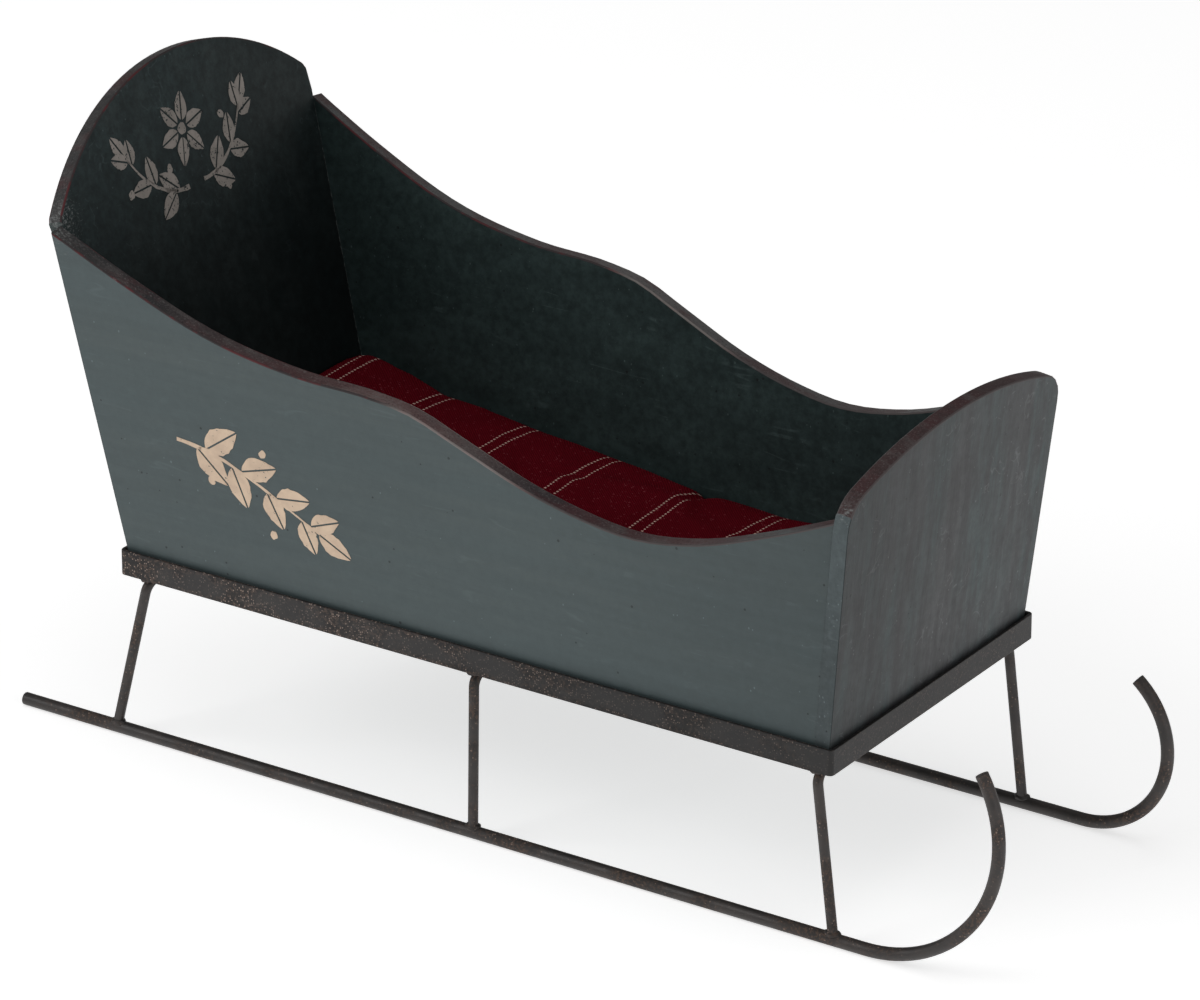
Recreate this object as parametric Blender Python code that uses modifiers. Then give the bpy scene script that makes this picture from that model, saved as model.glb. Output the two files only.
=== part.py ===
# Doll's sleigh: a tub of five painted boards in a thin steel band, carried by
# three wire hoops on two wire runners, with a loose cushion in the tub.
#
# Metres. +X is forward, to the curled ends of the runners, +Y is the left side
# and +Z is up. Sizes along X are from the middle of the band; the parent empty
# moves them so that the origin is below the middle of the whole sleigh.

import math

import bmesh
import bpy
import numpy as np
from mathutils import Vector

GAP = 0.0003            # clearance between pieces that touch

# Steel band round the foot of the tub
BAND_LENGTH = 0.2012
BAND_WIDTH = 0.0900
BAND_HEIGHT = 0.0065
BAND_WALL = 0.0008
BAND_CORNER = 0.0012    # radius of the strip's bends
BAND_TOP = 0.0505
BAND_BOTTOM = BAND_TOP - BAND_HEIGHT

# Boards of the tub. Face places are those of the outer faces, level with the
# band's top; a lean or a flare is the run outwards for each metre upwards.
BOARD = 0.004
TUB_BOTTOM = BAND_BOTTOM
SIDE_FACE_Y = 0.0435
SIDE_FLARE = 0.104      # at the middle; the sides are twisted and a little bowed
SIDE_TWIST = -0.400     # change of the flare for each metre forward
SIDE_BOW = -0.90        # and for each square metre
SIDE_END_X = -0.0994    # back ends of the side boards
SIDE_END_LEAN = 0.146
FRONT_FACE_X = 0.0991
FRONT_LEAN = 0.1035
BACK_FACE_X = -0.0879
BACK_LEAN = 0.318
FLOOR_CLEAR = 0.0006    # the floor board is a loose fit between the walls

# Upper edge of a side board's outer face, from the back corner to the front
RIM = (
    # x, z
    (-0.1127, 0.1345),
    (-0.0920, 0.1246),
    (-0.0675, 0.1151),
    (-0.0430, 0.1109),
    (-0.0220, 0.1101),
    (-0.0120, 0.1085),
    (0.0000, 0.1037),
    (0.0190, 0.0962),
    (0.0330, 0.0926),
    (0.0475, 0.0909),
    (0.0630, 0.0931),
    (0.0840, 0.1004),
    (0.1060, 0.1100),
)
RIM_COLUMNS = 48
RIM_PASSES = 8          # each brings a column's top closer to the rim

# Arched tops of the end boards: height of the crown on the outer face, radius of
# the arch, how far its middle is off to the left, and how far each corner where
# it ends is rounded
BACK_CROWN = 0.1583
BACK_ARCH = 0.0722
BACK_ARCH_Y = 0.0033
BACK_ROUND = 0.0014
FRONT_CROWN = 0.1204
FRONT_ARCH = 0.130
FRONT_ARCH_Y = 0
FRONT_ROUND = 0.0065
ARCH_STEPS = 20
ROUND_STEPS = 5

# Runners: round rod. The curls are bent by hand and differ.
ROD = 0.0032
TRACK_Y = 0.0426        # rod's middle line from the sleigh's middle
RUNNER_BACK_X = -0.1326
RUNNERS = (
    # name, side, where the curl starts, radius and sweep in degrees
    ("runner_right", -1, 0.1088, 0.0347, 121.0),
    ("runner_left", 1, 0.1165, 0.0225, 142.0),
)
CURL_STEP = 7.0         # degrees for each short straight of a curl

# Hoops: one wire each, from a runner up, under the band, and down again
WIRE = 0.0025
HOOP_BEND = 0.0030
HOOP_BEND_STEPS = 5
HOOP_TOP_Z = BAND_BOTTOM - GAP - WIRE / 2
HOOPS = (
    # name, x of the cross wire, x of the feet
    ("hoop_rear", -0.0942, -0.1041),
    ("hoop_middle", 0.0007, 0.0001),
    ("hoop_front", 0.0952, 0.1000),
)

# Cushion: a stuffed pad that fills the foot of the tub, thicker towards the back
CUSHION_CLEAR = 0.0008  # from the walls
CUSHION_BOTTOM = TUB_BOTTOM + BOARD + GAP
CUSHION_EDGE = 0.0155   # height along the walls
CUSHION_PUFF = 0.0025   # extra height in the middle
CUSHION_HEAD = 0.0095   # extra height at the back
CUSHION_HEAD_LENGTH = 0.075
CUSHION_HEAD_POWER = 1.3
CUSHION_CUTS = 4

# name: colour, roughness, metallic
FINISHES = {
    "outer_paint": ((0.085, 0.105, 0.108), 0.60, 0.0),
    "end_paint": ((0.080, 0.090, 0.092), 0.62, 0.0),
    "inner_paint": ((0.012, 0.020, 0.019), 0.55, 0.0),
    "dark_steel": ((0.030, 0.026, 0.024), 0.60, 0.8),
    "red_cloth": ((0.110, 0.006, 0.012), 0.90, 0.0),
}


def smooth_height(table, x):
    # Height of a smooth curve through the table's points
    xs, zs = np.array(table).T
    slopes = np.gradient(zs, xs)
    i = int(np.clip(np.searchsorted(xs, x) - 1, 0, len(xs) - 2))
    span = xs[i + 1] - xs[i]
    t = (x - xs[i]) / span
    start = (1 + 2 * t) * (1 - t) ** 2 * zs[i] + t * (1 - t) ** 2 * span * slopes[i]
    end = t * t * (3 - 2 * t) * zs[i + 1] + t * t * (t - 1) * span * slopes[i + 1]
    return float(start + end)


def level_thickness(lean):
    # A leaning board's thickness measured level
    return BOARD * math.hypot(1, lean)


def side_face(x, z):
    # Half width of the tub over the outer faces of its side boards
    flare = SIDE_FLARE + SIDE_TWIST * x + SIDE_BOW * x * x
    return SIDE_FACE_Y + flare * (z - BAND_TOP)


def side_inner(x, z):
    return side_face(x, z) - level_thickness(SIDE_FLARE)


def side_end(z):
    return SIDE_END_X - SIDE_END_LEAN * (z - BAND_TOP)


def back_face(z):
    return BACK_FACE_X - BACK_LEAN * (z - BAND_TOP)


def back_inner(z):
    return back_face(z) + level_thickness(BACK_LEAN)


def front_face(z):
    return FRONT_FACE_X + FRONT_LEAN * (z - BAND_TOP)


def front_inner(z):
    return front_face(z) - level_thickness(FRONT_LEAN)


def make_material(name):
    color, roughness, metallic = FINISHES[name]
    material = bpy.data.materials.new(name)
    material.use_nodes = True
    shader = material.node_tree.nodes["Principled BSDF"]
    shader.inputs["Base Color"].default_value = (*color, 1)
    shader.inputs["Roughness"].default_value = roughness
    shader.inputs["Metallic"].default_value = metallic
    return material


def add_object(name, data, material, collection, parent):
    obj = bpy.data.objects.new(name, data)
    data.materials.append(material)
    collection.objects.link(obj)
    obj.parent = parent
    return obj


def mesh_from(name, bm):
    mesh = bpy.data.meshes.new(name)
    bm.to_mesh(mesh)
    bm.free()
    return mesh


def add_solidify(obj, thickness):
    # Thickness goes inwards, away from the face normals
    solidify = obj.modifiers.new("Solidify", "SOLIDIFY")
    solidify.thickness = thickness
    solidify.offset = -1
    solidify.use_even_offset = True


def make_side_panel(name, side, material, collection, parent):
    # The outer face is a grid of columns that turn from the back end's lean to
    # the front's, cut off along the rim
    back_foot = side_end(TUB_BOTTOM)
    front_foot = front_inner(TUB_BOTTOM) - GAP
    bm = bmesh.new()
    bmesh.ops.create_grid(bm, x_segments=RIM_COLUMNS, y_segments=1, size=0.5)
    for vert in bm.verts:
        along = vert.co.x + 0.5
        foot = back_foot + along * (front_foot - back_foot)
        lean = FRONT_LEAN * along - SIDE_END_LEAN * (1 - along)
        x = foot
        z = TUB_BOTTOM
        if vert.co.y > 0:
            for _ in range(RIM_PASSES):
                z = smooth_height(RIM, x)
                x = foot + lean * (z - TUB_BOTTOM)
        vert.co = (x, side * side_face(x, z), z)
    if side > 0:
        bmesh.ops.reverse_faces(bm, faces=bm.faces)
    panel = add_object(name, mesh_from(name, bm), material, collection, parent)
    add_solidify(panel, BOARD)
    return panel


def half_outline(side_points, shoulder_y, crown, arch, arch_y, rounding):
    # One half of an end board's outline, up its side and over to the crown. The
    # shoulder, where the arch ends, is cut by a small curve.
    centre = Vector((arch_y, crown - arch))
    end_angle = math.asin((shoulder_y - arch_y) / arch)
    shoulder = centre + arch * Vector((math.sin(end_angle), math.cos(end_angle)))
    up_side = [Vector(point) for point in side_points if point[1] < shoulder.y - rounding]
    below = up_side[-1]
    start = shoulder + (below - shoulder).normalized() * rounding
    start_angle = end_angle - rounding / arch
    arc = []
    for i in range(ARCH_STEPS + 1):
        angle = start_angle * (1 - i / ARCH_STEPS)
        arc.append(centre + arch * Vector((math.sin(angle), math.cos(angle))))
    corner = []
    for i in range(ROUND_STEPS):
        t = i / ROUND_STEPS
        corner.append(start * (1 - t) ** 2 + shoulder * 2 * t * (1 - t) + arc[0] * t * t)
    return up_side + corner + arc


def arched_outline(side_points, shoulder_y, crown, arch, arch_y, rounding):
    # The left half, and the right half back from the crown and mirrored
    left = half_outline(side_points, shoulder_y, crown, arch, arch_y, rounding)
    right = half_outline(side_points, shoulder_y, crown, arch, -arch_y, rounding)
    return left + [Vector((-point.x, point.y)) for point in reversed(right[:-1])]


def make_end_panel(name, outline, face, lean, facing, material, collection, parent):
    # A flat board whose outline is given as (y, z); it leans outwards by `lean`
    angle = math.atan(lean)
    bottom = outline[0].y
    middle_z = bottom + BOARD / 2 * math.sin(angle)
    middle_x = face(middle_z) - facing * level_thickness(lean) / 2
    curve = bpy.data.curves.new(name, "CURVE")
    curve.dimensions = "2D"
    curve.fill_mode = "BOTH"
    curve.extrude = BOARD / 2
    spline = curve.splines.new("POLY")
    spline.points.add(len(outline) - 1)
    for point, place in zip(spline.points, outline):
        point.co = (place.x, (place.y - bottom) / math.cos(angle), 0, 1)
    spline.use_cyclic_u = True
    panel = add_object(name, curve, material, collection, parent)
    panel.location = (middle_x, 0, middle_z)
    panel.rotation_euler = (math.pi / 2 - angle, 0, -facing * math.pi / 2)
    weld = panel.modifiers.new("Weld", "WELD")
    weld.merge_threshold = 0.00001
    return panel


def make_back_panel(material, collection, parent):
    # Stands on the floor board between the side boards, its shoulders upright
    # above their rims
    def half_width(z):
        return side_inner(back_inner(z), z) - GAP

    bottom = TUB_BOTTOM + BOARD + GAP
    rim_z = RIM[0][1]
    rim_y = half_width(rim_z)
    side_points = [(half_width(bottom), bottom), (rim_y, rim_z)]
    outline = arched_outline(side_points, rim_y, BACK_CROWN, BACK_ARCH, BACK_ARCH_Y, BACK_ROUND)
    return make_end_panel("back_panel", outline, back_face, BACK_LEAN, -1,
                          material, collection, parent)


def make_front_panel(material, collection, parent):
    # Covers the front ends of the side boards, flush with their outer faces
    def half_width(z):
        return side_face(front_face(z), z)

    rim_z = RIM[-1][1]
    side_points = [(half_width(TUB_BOTTOM), TUB_BOTTOM)]
    outline = arched_outline(side_points, half_width(rim_z), FRONT_CROWN, FRONT_ARCH,
                             FRONT_ARCH_Y, FRONT_ROUND)
    return make_end_panel("front_panel", outline, front_face, FRONT_LEAN, 1,
                          material, collection, parent)


def make_box(name, low, high, material, collection, parent):
    low, high = Vector(low), Vector(high)
    bm = bmesh.new()
    bmesh.ops.create_cube(bm, size=1)
    bmesh.ops.scale(bm, vec=high - low, verts=bm.verts)
    box = add_object(name, mesh_from(name, bm), material, collection, parent)
    box.location = (low + high) / 2
    return box


def make_floor_board(material, collection, parent):
    # Lies between the sides, level with their lower edges and their back ends
    back_x = side_end(TUB_BOTTOM)
    front_x = front_inner(TUB_BOTTOM) - FLOOR_CLEAR
    half_width = side_inner(back_x, TUB_BOTTOM) - FLOOR_CLEAR
    return make_box("floor_board", (back_x, -half_width, TUB_BOTTOM),
                    (front_x, half_width, TUB_BOTTOM + BOARD), material, collection, parent)


def make_band(material, collection, parent):
    # Four walls of a box, bent round at the corners and given the strip's thickness
    bm = bmesh.new()
    bmesh.ops.create_cube(bm, size=1)
    bmesh.ops.scale(bm, vec=(BAND_LENGTH, BAND_WIDTH, BAND_HEIGHT), verts=bm.verts)
    lids = [face for face in bm.faces if abs(face.normal.z) > 0.5]
    bmesh.ops.delete(bm, geom=lids, context="FACES_ONLY")
    uprights = [edge for edge in bm.edges if abs(edge.verts[0].co.z - edge.verts[1].co.z) > GAP]
    bmesh.ops.bevel(bm, geom=uprights, offset=BAND_CORNER, segments=4, profile=0.5,
                    affect="EDGES", material=-1)
    band = add_object("base_band", mesh_from("base_band", bm), material, collection, parent)
    band.location.z = BAND_TOP - BAND_HEIGHT / 2
    add_solidify(band, BAND_WALL)
    return band


def make_wire(name, points, diameter, resolution, material, collection, parent):
    # A round wire along a list of points, with closed ends
    curve = bpy.data.curves.new(name, "CURVE")
    curve.dimensions = "3D"
    curve.bevel_depth = diameter / 2
    curve.bevel_resolution = resolution
    curve.use_fill_caps = True
    spline = curve.splines.new("POLY")
    spline.points.add(len(points) - 1)
    for point, place in zip(spline.points, points):
        point.co = (*place, 1)
    wire = add_object(name, curve, material, collection, parent)
    weld = wire.modifiers.new("Weld", "WELD")
    weld.merge_threshold = 0.00001
    return wire


def make_runner(name, side, curl_x, radius, sweep, material, collection, parent):
    # Straight along the ground, then bent up and back over itself
    points = [(RUNNER_BACK_X, 0, 0)]
    steps = round(sweep / CURL_STEP)
    for i in range(steps + 1):
        angle = math.radians(sweep) * i / steps
        points.append((curl_x + radius * math.sin(angle), 0, radius * (1 - math.cos(angle))))
    runner = make_wire(name, points, ROD, 4, material, collection, parent)
    runner.location = (0, side * TRACK_Y, ROD / 2)
    return runner


def make_hoop(name, top_x, foot_x, material, collection, parent):
    # An upside-down U, turned about its cross wire so that its feet meet the rods
    lean = math.atan2(top_x - foot_x, HOOP_TOP_Z - ROD)
    foot_z = ROD + GAP + WIRE / 2 * abs(math.sin(lean))
    leg = (HOOP_TOP_Z - foot_z) / math.cos(lean)
    half = [(0, TRACK_Y, -leg)]
    for i in range(HOOP_BEND_STEPS + 1):
        angle = math.pi / 2 * i / HOOP_BEND_STEPS
        half.append((0, TRACK_Y - HOOP_BEND * (1 - math.cos(angle)),
                     -HOOP_BEND * (1 - math.sin(angle))))
    points = half + [(0, -y, z) for _, y, z in reversed(half)]
    hoop = make_wire(name, points, WIRE, 3, material, collection, parent)
    hoop.location = (top_x, 0, HOOP_TOP_Z)
    hoop.rotation_euler.y = lean
    return hoop


def make_cushion(material, collection, parent):
    # A box cage that follows the walls, swells in the middle and rises at the
    # back, rounded off by the subdivision. Its rows crowd towards the edges.
    length = front_inner(CUSHION_BOTTOM) - back_inner(CUSHION_BOTTOM)
    bm = bmesh.new()
    bmesh.ops.create_cube(bm, size=2)
    bmesh.ops.subdivide_edges(bm, edges=bm.edges, cuts=CUSHION_CUTS, use_grid_fill=True)
    for vert in bm.verts:
        along, across, up = ((3 * part - part ** 3) / 2 for part in vert.co)
        from_back = (along + 1) / 2 * length
        head = max(0, 1 - from_back / CUSHION_HEAD_LENGTH) ** CUSHION_HEAD_POWER
        puff = (1 - along ** 2) * (1 - across ** 2)
        height = CUSHION_EDGE + CUSHION_PUFF * puff + CUSHION_HEAD * head
        z = CUSHION_BOTTOM + (up + 1) / 2 * height
        back_x = back_inner(z) + CUSHION_CLEAR
        front_x = front_inner(z) - CUSHION_CLEAR
        x = back_x + (along + 1) / 2 * (front_x - back_x)
        vert.co = (x, across * (side_inner(x, z) - CUSHION_CLEAR), z)
    cushion = add_object("cushion", mesh_from("cushion", bm), material, collection, parent)
    subdivision = cushion.modifiers.new("Subdivision", "SUBSURF")
    subdivision.levels = 1
    subdivision.render_levels = 1
    cushion.data.shade_smooth()
    return cushion


def main():
    for obj in list(bpy.data.objects):
        bpy.data.objects.remove(obj)
    collection = bpy.data.collections.new("sleigh")
    bpy.context.scene.collection.children.link(collection)
    materials = {name: make_material(name) for name in FINISHES}

    front_reach = max(curl_x + radius for _, _, curl_x, radius, _ in RUNNERS) + ROD / 2
    base = bpy.data.objects.new("sleigh_base", None)
    base.location.x = -(RUNNER_BACK_X + front_reach) / 2
    collection.objects.link(base)

    for name, side in (("side_panel_right", -1), ("side_panel_left", 1)):
        make_side_panel(name, side, materials["outer_paint"], collection, base)
    make_back_panel(materials["end_paint"], collection, base)
    make_front_panel(materials["end_paint"], collection, base)
    make_floor_board(materials["inner_paint"], collection, base)
    make_band(materials["dark_steel"], collection, base)
    for row in HOOPS:
        make_hoop(*row, materials["dark_steel"], collection, base)
    for row in RUNNERS:
        make_runner(*row, materials["dark_steel"], collection, base)
    make_cushion(materials["red_cloth"], collection, base)


main()
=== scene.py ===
import math

import bmesh
import bpy
from mathutils import Matrix, Vector, noise


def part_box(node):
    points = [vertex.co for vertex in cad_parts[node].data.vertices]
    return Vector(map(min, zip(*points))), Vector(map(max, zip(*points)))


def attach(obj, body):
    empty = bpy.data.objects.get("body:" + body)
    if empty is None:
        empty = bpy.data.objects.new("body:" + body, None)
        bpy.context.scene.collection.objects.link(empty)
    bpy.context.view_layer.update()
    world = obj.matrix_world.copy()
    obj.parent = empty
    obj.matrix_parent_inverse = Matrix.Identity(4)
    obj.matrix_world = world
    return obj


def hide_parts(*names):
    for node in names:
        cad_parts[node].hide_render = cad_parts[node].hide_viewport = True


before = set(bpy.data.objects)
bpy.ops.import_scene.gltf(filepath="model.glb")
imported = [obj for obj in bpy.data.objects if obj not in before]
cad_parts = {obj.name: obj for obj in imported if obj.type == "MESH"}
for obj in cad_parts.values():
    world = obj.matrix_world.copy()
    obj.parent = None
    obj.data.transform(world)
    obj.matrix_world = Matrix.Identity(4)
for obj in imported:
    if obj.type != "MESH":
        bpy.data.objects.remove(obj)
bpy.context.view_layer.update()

bandLow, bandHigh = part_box("base_band")
bandMiddle = (bandLow.x + bandHigh.x) / 2   # lengths along X are from here
mergeGap = 0.00001

camera = {"azimuth": 33.485, "elevation": 24.041, "distance": 1.8,
          "target": (0.00158, 0, 0.0734), "lens": 228.85, "sensor": 36}
studio = {
    "world": (1.0, 1.0, 1.0), "worldStrength": 0.20,
    # place, aimed at, size, watts
    "lamps": (
        ((-0.85, -0.95, 0.85), (0, 0, 0.08), 0.9, 7.2),
        ((1.5, -0.3, 0.5), (0, 0, 0.08), 1.0, 4.6),
        ((0.1, -0.1, 1.9), (0, 0, 0.05), 1.4, 6),
    ),
    "floorSize": 12, "floorColour": (0.87, 0.87, 0.87), "floorGlow": 0.60,
}


def aimAt(obj, place, target):
    obj.location = place
    obj.rotation_euler = (Vector(target) - Vector(place)).to_track_quat("-Z", "Y").to_euler()


def makeStage():
    azimuth, elevation = math.radians(camera["azimuth"]), math.radians(camera["elevation"])
    back = Vector((math.sin(azimuth) * math.cos(elevation),
                   -math.cos(azimuth) * math.cos(elevation), math.sin(elevation)))
    view = bpy.data.cameras.new("view")
    view.lens = camera["lens"]
    view.sensor_width = camera["sensor"]
    view.clip_start = 0.05
    viewer = bpy.data.objects.new("view", view)
    bpy.context.collection.objects.link(viewer)
    target = Vector(camera["target"])
    aimAt(viewer, target + back * camera["distance"], target)
    bpy.context.scene.camera = viewer

    world = bpy.data.worlds.new("studio")
    world.use_nodes = True
    sky = world.node_tree.nodes["Background"]
    sky.inputs["Color"].default_value = opaque(studio["world"])
    sky.inputs["Strength"].default_value = studio["worldStrength"]
    bpy.context.scene.world = world

    for i, (place, target, size, watts) in enumerate(studio["lamps"]):
        lamp = bpy.data.lights.new(f"softbox{i}", "AREA")
        lamp.size = size
        lamp.energy = watts
        holder = bpy.data.objects.new(f"softbox{i}", lamp)
        bpy.context.collection.objects.link(holder)
        aimAt(holder, place, target)

    bm = bmesh.new()
    bmesh.ops.create_grid(bm, x_segments=1, y_segments=1, size=studio["floorSize"] / 2)
    floor = meshObject("floor", bm)
    floor.data.materials.append(plainFloor())
    bpy.context.scene.view_settings.view_transform = "Standard"


def meshObject(name, bm):
    mesh = bpy.data.meshes.new(name)
    bm.to_mesh(mesh)
    bm.free()
    obj = bpy.data.objects.new(name, mesh)
    bpy.context.collection.objects.link(obj)
    return obj


def feed(tree, node, inputs):
    # Inputs are numbers or the sockets that give them
    for key, value in inputs.items():
        if isinstance(value, bpy.types.NodeSocket):
            tree.links.new(value, node.inputs[key])
        else:
            node.inputs[key].default_value = value


def put(tree, kind, inputs=None, **settings):
    node = tree.nodes.new("ShaderNode" + kind)
    for key, value in settings.items():
        setattr(node, key, value)
    feed(tree, node, inputs or {})
    return node


def maths(tree, operation, a, b=0.0, clamp=False):
    return put(tree, "Math", {0: a, 1: b}, operation=operation, use_clamp=clamp).outputs[0]


def times(tree, a, b):
    return maths(tree, "MULTIPLY", a, b)


def cloudy(tree, vector, scale, detail, roughness=0.5):
    return put(tree, "TexNoise", {"Vector": vector, "Scale": scale, "Detail": detail,
                                  "Roughness": roughness}).outputs[0]


def spread(tree, value, low, high, start=0.0, end=1.0):
    # Stretches a value between two limits, smoothly
    node = put(tree, "MapRange", {"Value": value, "From Min": low, "From Max": high,
                                  "To Min": start, "To Max": end},
               interpolation_type="SMOOTHSTEP")
    return node.outputs["Result"]


def opaque(colour):
    return (*colour, 1) if isinstance(colour, tuple) else colour


def mixed(tree, factor, a, b):
    # The second colour over the first, by a factor. 6 and 7 are a Mix node's colours.
    return put(tree, "Mix", {0: factor, 6: opaque(a), 7: opaque(b)}, data_type="RGBA").outputs[2]


def dimmed(tree, colour, strength):
    return put(tree, "VectorMath", {0: colour, "Scale": strength},
               operation="SCALE").outputs["Vector"]


def coloured(tree, value, stops):
    # A ramp of colours along a value
    ramp = put(tree, "ValToRGB", {0: value})
    elements = ramp.color_ramp.elements
    while len(elements) < len(stops):
        elements.new(0.5)
    for element, (place, colour) in zip(elements, stops):
        element.position = place
        element.color = opaque(colour)
    return ramp.outputs["Color"]


def scaled(tree, vector, scale):
    return put(tree, "Mapping", {"Vector": vector, "Scale": scale}).outputs["Vector"]


def newGroup(name, inputs, outputs=("Mask",)):
    # A node group that reads a place and named values, and puts out masks
    group = bpy.data.node_groups.new(name, "ShaderNodeTree")
    for label, value in {"Vector": (0, 0, 0), **inputs}.items():
        kind = "NodeSocketVector" if isinstance(value, tuple) else "NodeSocketFloat"
        socket = group.interface.new_socket(label, in_out="INPUT", socket_type=kind)
        socket.default_value = value
    for label in outputs:
        group.interface.new_socket(label, in_out="OUTPUT", socket_type="NodeSocketFloat")
    given = group.nodes.new("NodeGroupInput").outputs
    return group, given, group.nodes.new("NodeGroupOutput").inputs


def useGroup(tree, name, inputs):
    node = tree.nodes.new("ShaderNodeGroup")
    node.node_tree = bpy.data.node_groups[name]
    feed(tree, node, inputs)
    return node.outputs


def blotches(tree, place, scale, cover, softness):
    return useGroup(tree, "blotches", {"Vector": place, "Scale": scale, "Cover": cover,
                                       "Softness": softness})["Mask"]


def flecks(tree, place, density, size, share):
    return useGroup(tree, "flecks", {"Vector": place, "Density": density, "Size": size,
                                     "Share": share})["Mask"]


def makeGroups():
    # Marks of a brush: long streaks along one way, broken up by finer hairs
    group, given, out = newGroup("brushMarks", {
        "Streaks": 700.0, "Hairs": 3000.0, "Way": (0.05, 1, 1)}, ("Mask", "Hairs"))
    along = scaled(group, given["Vector"], given["Way"])
    streaks = cloudy(group, along, given["Streaks"], 4.0, 0.62)
    hairs = cloudy(group, along, given["Hairs"], 2.0)
    group.links.new(spread(group, streaks, 0.3, 0.7), out["Mask"])
    group.links.new(spread(group, hairs, 0.3, 0.7), out["Hairs"])

    # Flecks: small round spots, only in some cells
    group, given, out = newGroup("flecks", {"Density": 600.0, "Size": 0.2, "Share": 0.1})
    cells = put(group, "TexVoronoi", {"Vector": given["Vector"], "Scale": given["Density"]})
    chance = put(group, "SeparateColor", {0: cells.outputs["Color"]})
    chosen = maths(group, "LESS_THAN", chance.outputs[0], given["Share"])
    size = times(group, given["Size"], maths(group, "ADD", chance.outputs[1], 0.35))
    spot = maths(group, "LESS_THAN", cells.outputs["Distance"], size)
    group.links.new(times(group, spot, chosen), out["Mask"])

    # Blotches: soft patches of a second colour with a ragged edge
    group, given, out = newGroup("blotches", {"Scale": 60.0, "Cover": 0.5, "Softness": 0.1})
    patch = cloudy(group, given["Vector"], given["Scale"], 6.0, 0.6)
    limit = maths(group, "SUBTRACT", 1.0, given["Cover"])
    low = maths(group, "SUBTRACT", limit, given["Softness"])
    high = maths(group, "ADD", limit, given["Softness"])
    group.links.new(spread(group, patch, low, high), out["Mask"])

    # Edge wear: paint rubbed thin towards a board's arrises. The boards carry
    # "inward", 0 on the arris and 1 a little way in.
    group, given, out = newGroup("edgeWear", {"Reach": 0.4, "Grain": 900.0})
    inward = put(group, "Attribute", attribute_name="inward")
    rag = cloudy(group, given["Vector"], given["Grain"], 4.0, 0.7)
    edge = maths(group, "ADD", inward.outputs["Fac"],
                 times(group, maths(group, "SUBTRACT", rag, 0.5), 1.6))
    group.links.new(spread(group, edge, 0.0, given["Reach"], 1.0, 0.0), out["Mask"])

    # Scratches: thin broken lines, nearly along the board
    group, given, out = newGroup("scratches", {})
    tilted = put(group, "Mapping", {"Vector": given["Vector"], "Rotation": (0.15, 0.12, 0.2),
                                    "Scale": (0.10, 1, 1)}).outputs[0]
    bend = maths(group, "SUBTRACT", cloudy(group, tilted, 150.0, 2.0, 0.6), 0.5)
    line = spread(group, maths(group, "ABSOLUTE", bend), 0.0, 0.022, 1.0, 0.0)
    broken = blotches(group, given["Vector"], 110.0, 0.42, 0.05)
    group.links.new(times(group, line, broken), out["Mask"])

    # Scuffs and glints: pale scratches and painted glints of light round a shoulder of the tub
    group, given, out = newGroup("scuffsAndGlints", {"Place": (0, 0, 0), "Reach": 0.01})
    away = put(group, "VectorMath", {0: given["Vector"], 1: given["Place"]},
               operation="DISTANCE").outputs["Value"]
    near = spread(group, maths(group, "DIVIDE", away, given["Reach"]), 0.1, 1.0, 1.0, 0.0)
    scratch = cloudy(group, scaled(group, given["Vector"], (0.5, 1, 1.3)), 1500.0, 4.0, 0.75)
    lifted = maths(group, "ADD", scratch, times(group, near, 0.12))
    group.links.new(times(group, near, spread(group, lifted, 0.58, 0.76)), out["Mask"])


def newMaterial(name, roughness, specular):
    material = bpy.data.materials.new(name)
    material.use_nodes = True
    tree = material.node_tree
    shader = tree.nodes["Principled BSDF"]
    shader.inputs["Roughness"].default_value = roughness
    shader.inputs["Specular IOR Level"].default_value = specular
    place = put(tree, "TexCoord").outputs["Object"]
    return material, tree, shader, place


def finishMaterial(tree, shader, colour, height, strength, distance=0.0001):
    bump = put(tree, "Bump", {"Height": height, "Strength": strength, "Distance": distance})
    feed(tree, shader, {"Base Color": colour, "Normal": bump.outputs["Normal"]})


def plainFloor():
    material, _, shader, _ = newMaterial("studioFloor", 0.9, 0.1)
    shader.inputs["Base Color"].default_value = opaque(studio["floorColour"])
    shader.inputs["Emission Color"].default_value = (1, 1, 1, 1)
    shader.inputs["Emission Strength"].default_value = studio["floorGlow"]
    return material


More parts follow.
